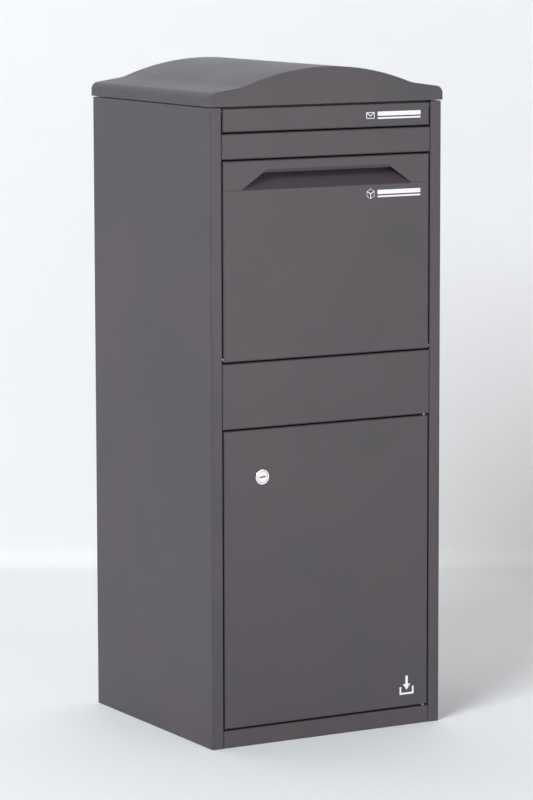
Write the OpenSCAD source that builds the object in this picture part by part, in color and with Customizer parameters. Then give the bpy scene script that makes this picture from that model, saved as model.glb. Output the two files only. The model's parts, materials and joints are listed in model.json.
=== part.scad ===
/* [Cabinet] */
// Width of the cabinet body
cabinet_width = 410; // [340:1:520]
// Depth of the cabinet body
cabinet_depth = 390; // [320:1:500]
// Height of the cabinet body without its roof
cabinet_height = 986; // [820:1:1300]
// Thickness of the sheet steel
sheet = 1.2; // [1:0.1:1.6]
// Outer radius of every folded edge
fold_radius = 2.2; // [1.8:0.1:3]
// Width of the flange on each side of the doors
front_flange = 19.5; // [16:0.5:30]
// Depth of the door frame behind the front
frame_depth = 16.5; // [16:0.5:22]

/* [Front] */
// Gap round each door
door_gap = 2.2; // [1.8:0.1:3]
// Height of the fixed rail under the retrieval door
base_rail_height = 27.7; // [20:0.1:60]
// Height of the fixed rail between the two doors
middle_rail_height = 101.3; // [40:0.1:160]
// Height of the parcel door
parcel_door_height = 306.1; // [240:0.1:380]
// Height of the fixed rail under the letter flap
upper_rail_height = 39.1; // [30:0.1:60]
// Height of the letter flap
letter_flap_height = 36.2; // [30:0.1:50]
// Depth of the folded edges of rails and of the retrieval door
edge_depth = 14; // [10:0.5:16]

/* [Grip] */
// Height of the strip that the fingers hook behind
grip_height = 44.8; // [38:0.1:60]
// Depth of the finger pocket
grip_depth = 28; // [20:0.5:32]
// Height of the notch cut in the strip
notch_height = 30.5; // [20:0.5:32]
// Distance from the door's edge to the lower corner of the notch
notch_margin = 31.5; // [20:0.1:60]
// Sideways run of each sloping end of the notch
notch_slope = 44.5; // [10:0.5:60]

/* [Hopper] */
// Distance of the parcel door's hinge behind its front
hinge_inset = 4.4; // [4:0.1:6]
// Height of the parcel door's hinge above its lower edge
hinge_rise = 5; // [4.6:0.1:6]
// Distance of the slide above the hinge when the door is open
slide_offset = 20; // [16:0.5:30]
// Angle that the parcel door opens to
parcel_open_angle = 50; // [40:1:55]
// Distance of each hopper cheek inside the door's edge
cheek_inset = 4.5; // [3:0.1:12]
// Depth of the letter shaft behind the hopper
letter_shaft_depth = 123; // [60:1:140]
// Clearance between the hopper and the letter shaft
hopper_clearance = 8; // [5:0.5:20]

/* [Letter chute] */
// Fall of the chute from the front to the letter shaft
chute_fall = 65; // [30:1:80]
// Height of the chute's side walls
chute_wall = 18; // [8:0.5:22]

/* [Retrieval door] */
// Distance of the hinge line from the door's right edge
side_hinge_inset = 6.3; // [5:0.1:8]
// Distance of the lock from the door's left edge
lock_inset = 66; // [40:0.1:90]
// Distance of the lock below the door's top edge
lock_drop = 74.3; // [60:0.1:120]
// Radius of the lock's visible face
lock_face_radius = 12; // [11:0.1:15]
// Length of the lock's cam from the lock's axis
cam_reach = 81; // [60:0.5:100]

/* [Roof] */
// Air gap between the cabinet and the roof
roof_gap = 1.6; // [1.2:0.1:6]
// Overhang of the roof on every side
roof_overhang = 1.4; // [1:0.1:10]
// Height of the roof's upright edge, measured to the sharp corner
roof_edge_height = 20.4; // [15:0.1:40]
// Radius of the roof's long edges
roof_edge_radius = 12; // [6:0.5:14]
// Width of the sloping shoulder beside the bow
shoulder_width = 57; // [40:1:80]
// Slope of the shoulder
shoulder_angle = 8; // [4:0.5:14]
// Height of the bow above the shoulders
bow_rise = 28.2; // [15:0.1:45]
// Radius of the hollow blend between shoulder and bow
knee_radius = 70; // [10:1:90]

/* [Fixings] */
// Radius of the pivot pins of both doors
pin_radius = 2.5; // [2:0.1:2.5]
// Radius of the letter flap's rod
rod_radius = 1.5; // [1.2:0.1:1.8]
// Running clearance round each pin and rod
running_clearance = 0.06; // [0.02:0.01:0.1]
// Radius of the floor fixing holes
floor_hole_radius = 5.5; // [3:0.1:7]
// Spacing of the floor fixing holes across the cabinet
floor_spacing_x = 280; // [120:1:290]
// Spacing of the floor fixing holes from front to back
floor_spacing_y = 260; // [120:1:270]
// Radius of the wall fixing holes
wall_hole_radius = 5; // [3:0.1:7]
// Spacing of the wall fixing holes across the cabinet
wall_spacing_x = 260; // [120:1:280]
// Spacing of the wall fixing holes up the cabinet
wall_spacing_z = 400; // [200:1:450]
// Height of the lower wall fixing holes
wall_hole_height = 150; // [80:1:250]
// Number of rivets down each rear edge
rivet_count = 6; // [4:1:12]

/* [Hidden] */

$fn = 48;
// Length by which a cutting shape passes the surface that it cuts
cut = 1;

coat = [0.37, 0.355, 0.38];
dark_coat = [0.31, 0.30, 0.32];
zinc = [0.78, 0.79, 0.8];
chrome = [0.88, 0.88, 0.9];
rubber = [0.08, 0.08, 0.08];

// Planes of the cabinet
front_y = -cabinet_depth / 2;
rear_y = cabinet_depth / 2;
inner_front_y = front_y + sheet;
inner_rear_y = rear_y - 2 * sheet;
side_inner_x = cabinet_width / 2 - sheet;
back_half = cabinet_width / 2 - fold_radius;
opening_half = cabinet_width / 2 - front_flange;
door_half = opening_half - door_gap;
door_inner_half = door_half - sheet;

// Heights of the front, from the top down
flap_clearance = 1;
flap_top = cabinet_height - flap_clearance;
flap_bottom = flap_top - letter_flap_height;
upper_rail_top = flap_bottom - door_gap;
upper_rail_bottom = upper_rail_top - upper_rail_height;
parcel_top = upper_rail_bottom - door_gap;
parcel_bottom = parcel_top - parcel_door_height;
middle_rail_top = parcel_bottom - door_gap;
middle_rail_bottom = middle_rail_top - middle_rail_height;
retrieval_top = middle_rail_bottom - door_gap;
retrieval_bottom = base_rail_height + door_gap;

// Parcel door and hopper
hinge_y = front_y + hinge_inset;
hinge_z = parcel_bottom + hinge_rise;
grip_bottom = parcel_top - grip_height;
parcel_edge_depth = 12;
parcel_lower_edge_depth = 8;
pocket_lip = 8;
lip_length = 6;
lip_angle = 32;
lip_end_gap = 0.6;
pocket_rise = grip_height - pocket_lip;
shaft_wall_y = inner_rear_y - letter_shaft_depth;
hopper_reach = shaft_wall_y - hinge_y - hopper_clearance;
cheek_top_clearance = 4;
cheek_end_clearance = 2;
cheek_radius = min(hopper_reach - cheek_end_clearance, grip_bottom - hinge_z - cheek_top_clearance);
cheek_half = door_half - cheek_inset;
slide_end = sqrt(hopper_reach * hopper_reach - pow(slide_offset + sheet, 2));
slide_flange = 16;
pin_head_rim = 0.6;
pin_head_height = 2.4;
parcel_pin_end = 1.2;
retrieval_pin_end = 5;
seal_thickness = 1.9;
seal_clearance = 0.4;
stop_lip = 6;
shaft_wall_flange = 15;
shaft_wall_overlap = 12;
shaft_wall_bottom = hinge_z + slide_offset - shaft_wall_overlap;
stop_pad = 2.6;
stop_clearance = 0.4;
stop_leg = 20;
stop_inset = 30;
stop_half = cheek_half - stop_inset;
stop_z = hinge_z + slide_offset + sheet + stop_clearance + stop_pad;
stop_buffer_inset = 20;
// Depth of a cutting shape that passes behind every folded edge
trim_depth = 60;

// Letter chute and flap
chute_clearance = 0.5;
chute_front_y = front_y + frame_depth + chute_clearance;
chute_front_z = upper_rail_top - sheet;
chute_rear_z = chute_front_z - chute_fall;
chute_lip = 12;
chute_slope = chute_fall / (shaft_wall_y - chute_front_y);
rod_inset = 4.2;
rod_drop = 4.5;
rod_y = front_y + rod_inset;
rod_z = flap_top - rod_drop;
flap_side_depth = 9;
flap_lower_depth = 6;
flap_upper_depth = 3;
rod_end = 3;
spring_wire = 0.5;
spring_turns = 9;
spring_pitch = 0.95;
spring_slack = 0.15;
spring_leg_radius = 0.45;
spring_leg = 14;
spring_inset = 24;
spring_fn = 24;

// Retrieval door and lock
side_hinge_x = door_half - side_hinge_inset;
side_hinge_depth = 4.5;
side_hinge_y = front_y + side_hinge_depth;
lock_x = -door_half + lock_inset;
lock_z = retrieval_top - lock_drop;
lock_proud = 2.3;
lock_edge_radius = 1.1;
barrel_radius = 9.5;
plug_radius = 8;
plug_inset = 0.4;
plug_face_radius = 8.4;
plug_groove = 0.5;
plug_face_inset = 0.1;
plug_face_thickness = 0.9;
keyway_length = 10.4;
keyway_width = 1.9;
keyway_depth = 3;
keyway_overlap = 0.4;
barrel_end = 0.4;
barrel_end_y = front_y + frame_depth + barrel_end;
cam_clearance = 0.6;
cam_y = barrel_end_y + cam_clearance;
cam_thickness = 2.4;
cam_width = 16;
cam_corner = 4;
screw_head_radius = 6;
screw_head_height = 2.6;
screw_slot = [7, 1.2, 2.4];
square_half = 3.5;
lock_nut_thickness = 3;
lock_nut_radius = 14;
stiffener_width = 60;
stiffener_depth = 11;
stiffener_flange = 12;
stiffener_margin = 30;
stiffener_x = 20;

// Roof
roof_z = cabinet_height + roof_gap;
roof_half = cabinet_width / 2 + roof_overhang;
roof_front_y = front_y - roof_overhang;
roof_depth = cabinet_depth + 2 * roof_overhang;
knee_x = roof_half - shoulder_width;
edge_z = roof_z + roof_edge_height;
knee_z = edge_z + shoulder_width * tan(shoulder_angle);
bow_radius = (knee_x * knee_x + bow_rise * bow_rise) / (2 * bow_rise);
bow_center_z = knee_z + bow_rise - bow_radius;
edge_center = [
    roof_half - roof_edge_radius,
    edge_z + roof_edge_radius * tan(shoulder_angle) - roof_edge_radius / cos(shoulder_angle)
];
shoulder_normal = [sin(shoulder_angle), cos(shoulder_angle)];
shoulder_run = [cos(shoulder_angle), -sin(shoulder_angle)];
knee_start = [knee_x, knee_z - bow_center_z] + knee_radius * shoulder_normal;
knee_along = knee_start * shoulder_run;
knee_reach = pow(knee_along, 2) - knee_start * knee_start + pow(bow_radius + knee_radius, 2);
knee_shift = sqrt(knee_reach) - knee_along;
knee_center = knee_start + knee_shift * shoulder_run + [0, bow_center_z];
knee_toward = (knee_center - [0, bow_center_z]) / norm(knee_center - [0, bow_center_z]);
bolt_radius = 3;
bolt_end = 7;
bolt_head_height = 4;
hexagon_radius = 5.8;
nut_height = 5;
bolt_inset_x = 55;
bolt_inset_y = 45;
top_panel_inset = 12;
top_panel_front_y = front_y + top_panel_inset;
top_panel_flange = 14;
bow_spare = 6;
round_fn = 360;

rivet_radius = 2;
rivet_head_radius = 3.6;
rivet_head_height = 1.1;
rivet_margin = 60;
rivet_x = cabinet_width / 2 - front_flange / 2;
wall_height = wall_hole_height + wall_spacing_z / 2;
bracket_height = 20;
bracket_reach = 12;
bracket_leg = 10;
buffer_radius = 5;
buffer_rise = 60;
buffer_drop = 130;
buffer_heights = [retrieval_bottom + buffer_rise, lock_z - buffer_drop];

// Cutter that rounds the front lower edge of a block along X
module edge_cut(length, radius) {
    difference() {
        translate([-cut, -cut, -cut]) cube([length + 2 * cut, radius + cut, radius + cut]);
        translate([-2 * cut, radius, radius]) rotate([0, 90, 0]) cylinder(r = radius, h = length + 4 * cut);
    }
}

// The four cutters that round the front edges of a centred panel
module front_edge_cuts(width, height, radius) {
    translate([-width / 2, 0, 0]) edge_cut(width, radius);
    translate([-width / 2, 0, height]) mirror([0, 0, 1]) edge_cut(width, radius);
    for (side = [0, 1]) {
        mirror([side, 0, 0]) translate([width / 2, 0, 0]) rotate([0, -90, 0]) edge_cut(height, radius);
    }
}

// Sheet panel with its four edges folded back, its face on the plane y = 0
module pan(width, height, depth) {
    difference() {
        translate([-width / 2, 0, 0]) cube([width, depth, height]);
        translate([-width / 2 + sheet, sheet, sheet]) cube([width - 2 * sheet, depth, height - 2 * sheet]);
        front_edge_cuts(width, height, fold_radius);
    }
}

// Rounded rectangle from the origin
module rounded_rect(width, depth, radius) {
    translate([radius, 0]) square([width - 2 * radius, depth]);
    translate([0, radius]) square([width, depth - 2 * radius]);
    for (x = [radius, width - radius], y = [radius, depth - radius]) translate([x, y]) circle(radius);
}

module side_section() {
    difference() {
        union() {
            rounded_rect(front_flange, cabinet_depth, fold_radius);
            translate([0, cabinet_depth - fold_radius]) square(fold_radius);
        }
        translate([sheet, sheet]) {
            rounded_rect(front_flange - 2 * sheet, cabinet_depth - 2 * sheet, fold_radius - sheet);
        }
        translate([-cut, frame_depth]) {
            square([fold_radius + cut, cabinet_depth - frame_depth - sheet]);
        }
    }
}

module pin_hole_along_x(y, z, radius) {
    translate([opening_half - cut, y, z]) rotate([0, 90, 0]) cylinder(r = radius, h = fold_radius + 2 * cut);
}

// Part of the side's section that frames the doors
module stile_area() {
    translate([-cut, -cut]) square([front_flange + 2 * cut, fold_radius + cut]);
    translate([-cut, -cut]) square([fold_radius + cut, frame_depth + cut]);
}

// Side of the cabinet behind its rounded front corner, with the rear flange
module side_panel() {
    difference() {
        translate([opening_half, front_y, 0]) linear_extrude(cabinet_height) difference() {
            side_section();
            stile_area();
        }
        at_rivets() cylinder(r = rivet_radius, h = 4 * sheet, center = true);
    }
}

// Front flange beside the doors, folded back to carry the pins of the parcel door
module front_stile() {
    difference() {
        translate([opening_half, front_y, 0]) linear_extrude(cabinet_height) intersection() {
            side_section();
            stile_area();
        }
        pin_hole_along_x(hinge_y, hinge_z, pin_radius);
        pin_hole_along_x(rod_y, rod_z, rod_radius);
    }
}

module left_side_panel() {
    color(coat) mirror([1, 0, 0]) side_panel();
}

module right_side_panel() {
    color(coat) side_panel();
}

module left_front_stile() {
    color(coat) mirror([1, 0, 0]) front_stile();
}

module right_front_stile() {
    color(coat) front_stile();
}

// Places its children on the right row of rivets, +Z pointing out of the back
module at_rivets() {
    step = (cabinet_height - 2 * rivet_margin) / (rivet_count - 1);
    for (i = [0 : rivet_count - 1]) {
        translate([rivet_x, rear_y - sheet, rivet_margin + i * step]) rotate([-90, 0, 0]) children();
    }
}

module rivet() {
    translate([0, 0, -2 * sheet]) cylinder(r = rivet_radius, h = 3 * sheet);
    dome_radius = (pow(rivet_head_radius, 2) + pow(rivet_head_height, 2)) / (2 * rivet_head_height);
    intersection() {
        translate([0, 0, sheet]) cylinder(r = rivet_head_radius, h = rivet_head_height);
        translate([0, 0, sheet + rivet_head_height - dome_radius]) sphere(dome_radius);
    }
}

module rear_rivets() {
    color(zinc) for (side = [0, 1]) mirror([side, 0, 0]) at_rivets() rivet();
}

module back_panel() {
    color(coat) difference() {
        translate([-back_half, inner_rear_y, sheet]) {
            cube([2 * back_half, sheet, cabinet_height - 2 * sheet]);
        }
        for (x = [-1, 1], z = [-1, 1]) {
            translate([x * wall_spacing_x / 2, inner_rear_y - cut, wall_height + z * wall_spacing_z / 2]) {
                rotate([-90, 0, 0]) cylinder(r = wall_hole_radius, h = sheet + 2 * cut);
            }
        }
        for (side = [0, 1]) {
            mirror([side, 0, 0]) at_rivets() cylinder(r = rivet_radius, h = 4 * sheet, center = true);
        }
    }
}

module fixed_rail(bottom, height, depth) {
    translate([0, front_y, bottom]) pan(2 * opening_half, height, depth);
}

module side_pin_hole(z) {
    translate([side_hinge_x, side_hinge_y, z]) cylinder(r = pin_radius, h = 4 * sheet, center = true);
}

module base_tray() {
    color(coat) difference() {
        union() {
            fixed_rail(0, base_rail_height, edge_depth);
            translate([-opening_half + sheet, inner_front_y, 0]) {
                cube([2 * (opening_half - sheet), inner_rear_y - inner_front_y, sheet]);
            }
            base_side_flanges();
            translate([-side_inner_x, inner_rear_y - sheet, 0]) {
                cube([2 * side_inner_x, sheet, base_rail_height]);
            }
        }
        side_pin_hole(base_rail_height);
        for (x = [-1, 1], y = [-1, 1]) {
            translate([x * floor_spacing_x / 2, y * floor_spacing_y / 2, -cut]) {
                cylinder(r = floor_hole_radius, h = sheet + 2 * cut);
            }
        }
    }
}

module base_side_flanges() {
    flange_y = front_y + frame_depth;
    flange_length = inner_rear_y - flange_y;
    for (side = [0, 1]) mirror([side, 0, 0]) {
        translate([opening_half - 2 * sheet, flange_y, 0]) {
            cube([side_inner_x - opening_half + 2 * sheet, flange_length, sheet]);
        }
        translate([side_inner_x - sheet, flange_y, 0]) cube([sheet, flange_length, base_rail_height]);
    }
}

module middle_front_rail() {
    color(coat) difference() {
        fixed_rail(middle_rail_bottom, middle_rail_height, edge_depth);
        side_pin_hole(middle_rail_bottom);
    }
}

// Rail under the letter flap, with a lip behind the parcel door that its seal closes on
module upper_front_rail() {
    stop_y = front_y + grip_depth + seal_thickness + seal_clearance;
    color(coat) {
        fixed_rail(upper_rail_bottom, upper_rail_height, edge_depth);
        translate([-opening_half + sheet, front_y + edge_depth - sheet, upper_rail_bottom]) {
            cube([2 * (opening_half - sheet), stop_y - front_y - edge_depth + 2 * sheet, sheet]);
        }
        translate([-opening_half + sheet, stop_y, upper_rail_bottom - stop_lip]) {
            cube([2 * (opening_half - sheet), sheet, stop_lip + sheet]);
        }
    }
}

module parcel_door_seal() {
    seal_y = front_y + grip_depth + seal_clearance;
    color(rubber) translate([-door_inner_half, seal_y, upper_rail_bottom - stop_lip]) {
        cube([2 * door_inner_half, seal_thickness, stop_lip]);
    }
}

module top_panel() {
    depth = inner_rear_y - top_panel_front_y;
    color(coat) difference() {
        union() {
            translate([-opening_half, top_panel_front_y, cabinet_height - sheet]) {
                cube([2 * opening_half, depth, sheet]);
            }
            for (side = [0, 1]) mirror([side, 0, 0]) {
                translate([opening_half - cut, front_y + frame_depth, cabinet_height - sheet]) {
                    cube([side_inner_x - opening_half + cut, inner_rear_y - front_y - frame_depth, sheet]);
                }
                translate([side_inner_x - sheet, front_y + frame_depth, cabinet_height - top_panel_flange]) {
                    cube([sheet, inner_rear_y - front_y - frame_depth, top_panel_flange]);
                }
            }
        }
        at_roof_bolts() cylinder(r = bolt_radius, h = 4 * sheet, center = true);
    }
}

// Places its children at the roof's four fixings, on the cabinet's top
module at_roof_bolts() {
    bolt_x = cabinet_width / 2 - bolt_inset_x;
    bolt_y = cabinet_depth / 2 - bolt_inset_y;
    for (x = [-bolt_x, bolt_x], y = [-bolt_y, bolt_y]) translate([x, y, cabinet_height]) children();
}

// Sloping plate that leads letters from the flap to the shaft
module letter_chute() {
    color(dark_coat) {
        translate([-side_inner_x, 0, chute_front_z]) rotate([90, 0, 90]) {
            linear_extrude(2 * side_inner_x) polygon([
                [chute_front_y, 0],
                [shaft_wall_y, -chute_fall],
                [shaft_wall_y, -chute_fall - chute_lip],
                [shaft_wall_y - sheet, -chute_fall - chute_lip],
                [shaft_wall_y - sheet, -chute_fall - sheet + chute_slope * sheet],
                [chute_front_y, -sheet]
            ]);
        }
        for (x = [-side_inner_x, side_inner_x - sheet]) translate([x, 0, chute_front_z]) rotate([90, 0, 90]) {
            linear_extrude(sheet) polygon([
                [chute_front_y, 0],
                [shaft_wall_y, -chute_fall],
                [shaft_wall_y, chute_wall - chute_fall],
                [chute_front_y, chute_wall]
            ]);
        }
        translate([-opening_half + sheet, inner_front_y, chute_front_z - sheet]) {
            cube([2 * (opening_half - sheet), chute_front_y - inner_front_y, sheet]);
        }
    }
}

// Wall that closes the hopper at the back and leads letters down behind it
module letter_shaft_wall() {
    top = chute_rear_z;
    color(dark_coat) {
        translate([-side_inner_x, shaft_wall_y, shaft_wall_bottom]) {
            cube([2 * side_inner_x, sheet, top - shaft_wall_bottom]);
        }
        for (x = [-side_inner_x, side_inner_x - sheet]) {
            translate([x, shaft_wall_y, shaft_wall_bottom]) {
                cube([sheet, shaft_wall_flange, top - shaft_wall_bottom]);
            }
        }
    }
}

// Angle on the shaft wall that stops the hopper when the parcel door is open
module hopper_stop() {
    color(dark_coat) {
        translate([-stop_half, shaft_wall_y - stop_leg, stop_z]) cube([2 * stop_half, stop_leg, sheet]);
        translate([-stop_half, shaft_wall_y - sheet, stop_z]) cube([2 * stop_half, sheet, stop_leg]);
    }
}

module hopper_stop_buffers() {
    buffer_x = stop_half - stop_buffer_inset;
    buffer_y = shaft_wall_y - stop_leg + buffer_radius;
    color(rubber) for (x = [-buffer_x, buffer_x]) {
        translate([x, buffer_y, stop_z - stop_pad]) cylinder(r = buffer_radius, h = stop_pad);
    }
}

// Brackets behind the left door frame that the retrieval door closes on
module door_stop_brackets() {
    color(coat) for (z = buffer_heights) {
        translate([-opening_half - 2 * sheet, front_y + frame_depth - bracket_leg, z - bracket_height / 2]) {
            cube([sheet, bracket_leg + sheet, bracket_height]);
        }
        translate([-opening_half - 2 * sheet, front_y + frame_depth, z - bracket_height / 2]) {
            cube([bracket_reach + 2 * sheet, sheet, bracket_height]);
        }
    }
}

module door_stop_buffers() {
    thickness = frame_depth - edge_depth - seal_clearance;
    color(rubber) for (z = buffer_heights) {
        translate([-opening_half + bracket_reach / 2, front_y + frame_depth - thickness, z]) {
            rotate([-90, 0, 0]) cylinder(r = buffer_radius, h = thickness);
        }
    }
}

// Pin along +Z from z = 0, with a head on a neck that stands clear of the sheet's fold
module headed_pin(length) {
    neck = fold_radius - sheet;
    translate([0, 0, -neck]) cylinder(r = pin_radius, h = length + neck);
    translate([0, 0, -neck - pin_head_height]) cylinder(r = pin_radius + pin_head_rim, h = pin_head_height);
}

module parcel_door_pins() {
    color(zinc) for (side = [0, 1]) mirror([side, 0, 0]) {
        translate([opening_half + sheet, hinge_y, hinge_z]) rotate([0, -90, 0]) {
            headed_pin(door_gap + 2 * sheet + parcel_pin_end);
        }
    }
}

module retrieval_door_pins() {
    length = door_gap + 2 * sheet + retrieval_pin_end;
    color(zinc) {
        translate([side_hinge_x, side_hinge_y, base_rail_height - sheet]) headed_pin(length);
        translate([side_hinge_x, side_hinge_y, middle_rail_bottom + sheet]) mirror([0, 0, 1]) {
            headed_pin(length);
        }
    }
}

module letter_flap_rod() {
    reach = opening_half + sheet + rod_end;
    color(zinc) translate([-reach, rod_y, rod_z]) rotate([0, 90, 0]) cylinder(r = rod_radius, h = 2 * reach);
}

// Closed coil of the return spring on the rod, with the leg that bears on the top panel
module letter_flap_spring() {
    coil_radius = rod_radius + spring_wire + spring_slack;
    color(zinc) translate([door_half - spring_inset, rod_y, rod_z]) {
        rotate([0, 90, 0]) rotate_extrude() for (i = [0 : spring_turns - 1]) {
            translate([coil_radius, i * spring_pitch]) circle(spring_wire, $fn = spring_fn);
        }
        translate([0, 0, coil_radius]) rotate([-90, 0, 0]) cylinder(r = spring_leg_radius, h = spring_leg);
    }
}

// Roof outline from its lower edge up, drawn inside the outer face by the inset
module roof_section(inset) {
    drop = inset / cos(shoulder_angle);
    reach = roof_edge_radius - inset;
    blend = knee_radius + inset;
    for (side = [0, 1]) mirror([side, 0]) {
        polygon([
            [0, roof_z],
            [roof_half - inset, roof_z],
            [roof_half - inset, edge_center[1]],
            edge_center + reach * shoulder_normal,
            [knee_x, knee_z - drop],
            [0, knee_z - drop]
        ]);
        translate(edge_center) intersection() {
            circle(reach);
            square(reach + cut);
        }
        difference() {
            polygon([
                [knee_x, knee_z - drop - cut],
                knee_center - blend * shoulder_normal,
                knee_center,
                [0, bow_center_z] + (bow_radius - inset) * knee_toward
            ]);
            translate(knee_center) circle(blend, $fn = round_fn);
        }
    }
    intersection() {
        translate([0, bow_center_z]) circle(bow_radius - inset, $fn = round_fn);
        translate([-knee_x - bow_spare, knee_z - drop - bow_spare]) {
            square([2 * (knee_x + bow_spare), bow_rise + 2 * bow_spare]);
        }
    }
}

// Stretch of roof outline from y0 back to y1
module roof_stretch(y0, y1, inset) {
    translate([0, y1, 0]) rotate([90, 0, 0]) linear_extrude(y1 - y0) roof_section(inset);
}

module roof_cover() {
    roof_rear_y = roof_front_y + roof_depth;
    color(coat) difference() {
        roof_stretch(roof_front_y, roof_rear_y, 0);
        roof_stretch(roof_front_y - cut, roof_rear_y + cut, sheet);
    }
}

module roof_front_gable() {
    color(coat) roof_stretch(roof_front_y, roof_front_y + sheet, sheet);
}

module roof_rear_gable() {
    color(coat) roof_stretch(-roof_front_y - sheet, -roof_front_y, sheet);
}

module roof_base() {
    color(dark_coat) difference() {
        translate([-roof_half + sheet, roof_front_y + sheet, roof_z]) {
            cube([2 * (roof_half - sheet), roof_depth - 2 * sheet, sheet]);
        }
        at_roof_bolts() cylinder(r = bolt_radius, h = 4 * roof_gap, center = true);
    }
}

module roof_spacers() {
    color(rubber) at_roof_bolts() difference() {
        cylinder(r = 3 * bolt_radius, h = roof_gap);
        translate([0, 0, -cut]) cylinder(r = bolt_radius, h = roof_gap + 2 * cut);
    }
}

module roof_bolts() {
    color(zinc) at_roof_bolts() translate([0, 0, -sheet]) {
        cylinder(r = bolt_radius, h = roof_gap + 2 * sheet + bolt_end);
        translate([0, 0, -bolt_head_height]) cylinder(r = hexagon_radius, h = bolt_head_height, $fn = 6);
    }
}

module roof_nuts() {
    color(zinc) at_roof_bolts() translate([0, 0, roof_gap + sheet]) difference() {
        cylinder(r = hexagon_radius, h = nut_height, $fn = 6);
        translate([0, 0, -cut]) cylinder(r = bolt_radius, h = nut_height + 2 * cut);
    }
}

// Cuts back the folded edges of a panel in a band beside its top or bottom
module fold_trim(width, from_y, bottom, height) {
    translate([-width / 2, from_y, bottom]) cube([width, trim_depth, height]);
}

module letter_flap() {
    width = 2 * door_half;
    color(coat) difference() {
        translate([0, front_y, flap_bottom]) pan(width, letter_flap_height, flap_side_depth);
        fold_trim(2 * door_inner_half, front_y + flap_lower_depth, flap_bottom - cut, sheet + 2 * cut);
        fold_trim(2 * door_inner_half, front_y + flap_upper_depth, flap_top - sheet - cut, sheet + 2 * cut);
        translate([-door_half - cut, rod_y, rod_z]) rotate([0, 90, 0]) {
            cylinder(r = rod_radius + running_clearance, h = width + 2 * cut);
        }
    }
}

// Plate that slopes back from the lower edge of the notch to form the finger pocket
module pocket_plate() {
    run = grip_depth - sheet;
    length = norm([run, pocket_rise]);
    inner_z = -sheet * (length - run) / pocket_rise;
    translate([-door_inner_half, front_y, grip_bottom]) rotate([90, 0, 90]) {
        linear_extrude(2 * door_inner_half) polygon([
            [0, 0],
            [run, pocket_rise],
            [run, pocket_rise] + [0, -sheet * length / run],
            [sheet, inner_z]
        ]);
    }
}

module parcel_door_panel() {
    height = parcel_door_height - grip_height;
    width = 2 * door_half;
    color(coat) difference() {
        union() {
            difference() {
                translate([0, front_y, parcel_bottom]) pan(width, height + edge_depth, parcel_edge_depth);
                translate([-width, front_y - cut, grip_bottom]) cube([2 * width, trim_depth, 2 * edge_depth]);
                lower_edge_y = front_y + parcel_lower_edge_depth;
                fold_trim(2 * door_inner_half, lower_edge_y, parcel_bottom - cut, sheet + 2 * cut);
            }
            pocket_plate();
        }
        grip_face();
        translate([-door_half - cut, hinge_y, hinge_z]) rotate([0, 90, 0]) {
            cylinder(r = pin_radius + running_clearance, h = width + 2 * cut);
        }
    }
}

// Front face of the strip over the finger pocket, with the tapered notch in its lower edge
module grip_face() {
    notch_half = door_half - notch_margin;
    spread = cut * notch_slope / notch_height;
    translate([0, inner_front_y, grip_bottom]) rotate([90, 0, 0]) linear_extrude(sheet) difference() {
        translate([-door_half, 0]) square([2 * door_half, grip_height]);
        polygon([
            [-notch_half - spread, -cut],
            [notch_half + spread, -cut],
            [notch_half - notch_slope, notch_height],
            [-notch_half + notch_slope, notch_height]
        ]);
    }
}

// Lip that bends down and back from the top of the notch, which the fingers hook behind
module grip_lip() {
    top_half = door_half - notch_margin - notch_slope - lip_end_gap;
    drop = lip_length * cos(lip_angle);
    low_half = top_half + drop * notch_slope / notch_height;
    along = lip_length * [sin(lip_angle), -cos(lip_angle)];
    across = sheet * [cos(lip_angle), sin(lip_angle)];
    translate([0, front_y, grip_bottom + notch_height]) intersection() {
        translate([-low_half, 0, 0]) rotate([90, 0, 90]) linear_extrude(2 * low_half) {
            polygon([[0, 0], along, along + across, across]);
        }
        translate([0, lip_length, 0]) rotate([90, 0, 0]) linear_extrude(2 * lip_length) {
            polygon([
                [-low_half, -drop],
                [low_half, -drop],
                [top_half, 0],
                [top_half, sheet],
                [-top_half, sheet],
                [-top_half, 0]
            ]);
        }
    }
}

// Strip over the finger pocket, folded back at its ends and top
module parcel_door_grip() {
    color(coat) {
        difference() {
            union() {
                grip_face();
                difference() {
                    translate([0, front_y, grip_bottom - edge_depth]) {
                        pan(2 * door_half, grip_height + edge_depth, grip_depth);
                    }
                    translate([-door_half - cut, front_y - cut, grip_bottom - 2 * edge_depth]) {
                        cube([2 * door_half + 2 * cut, grip_depth + 2 * cut, 2 * edge_depth]);
                    }
                    translate([-door_inner_half, front_y - cut, grip_bottom - cut]) {
                        cube([2 * door_inner_half, sheet + cut, grip_height - sheet + cut]);
                    }
                }
                translate([-door_inner_half, front_y + grip_depth - sheet, parcel_top - pocket_lip]) {
                    cube([2 * door_inner_half, sheet, pocket_lip]);
                }
            }
            translate([0, front_y, parcel_bottom]) {
                front_edge_cuts(2 * door_half, parcel_door_height, fold_radius);
            }
        }
        grip_lip();
    }
}

// Extrudes an outline in Y and Z, measured from the parcel door's hinge, from x0 to x1
module from_hinge(x0, x1) {
    translate([x0, hinge_y, hinge_z]) rotate([90, 0, 90]) linear_extrude(x1 - x0) children();
}

// Height above the hinge, at y, of a plane that lies the offset above the closed slide's own direction
function slide_height(y, offset) = (offset - y * sin(parcel_open_angle)) / cos(parcel_open_angle);

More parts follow.
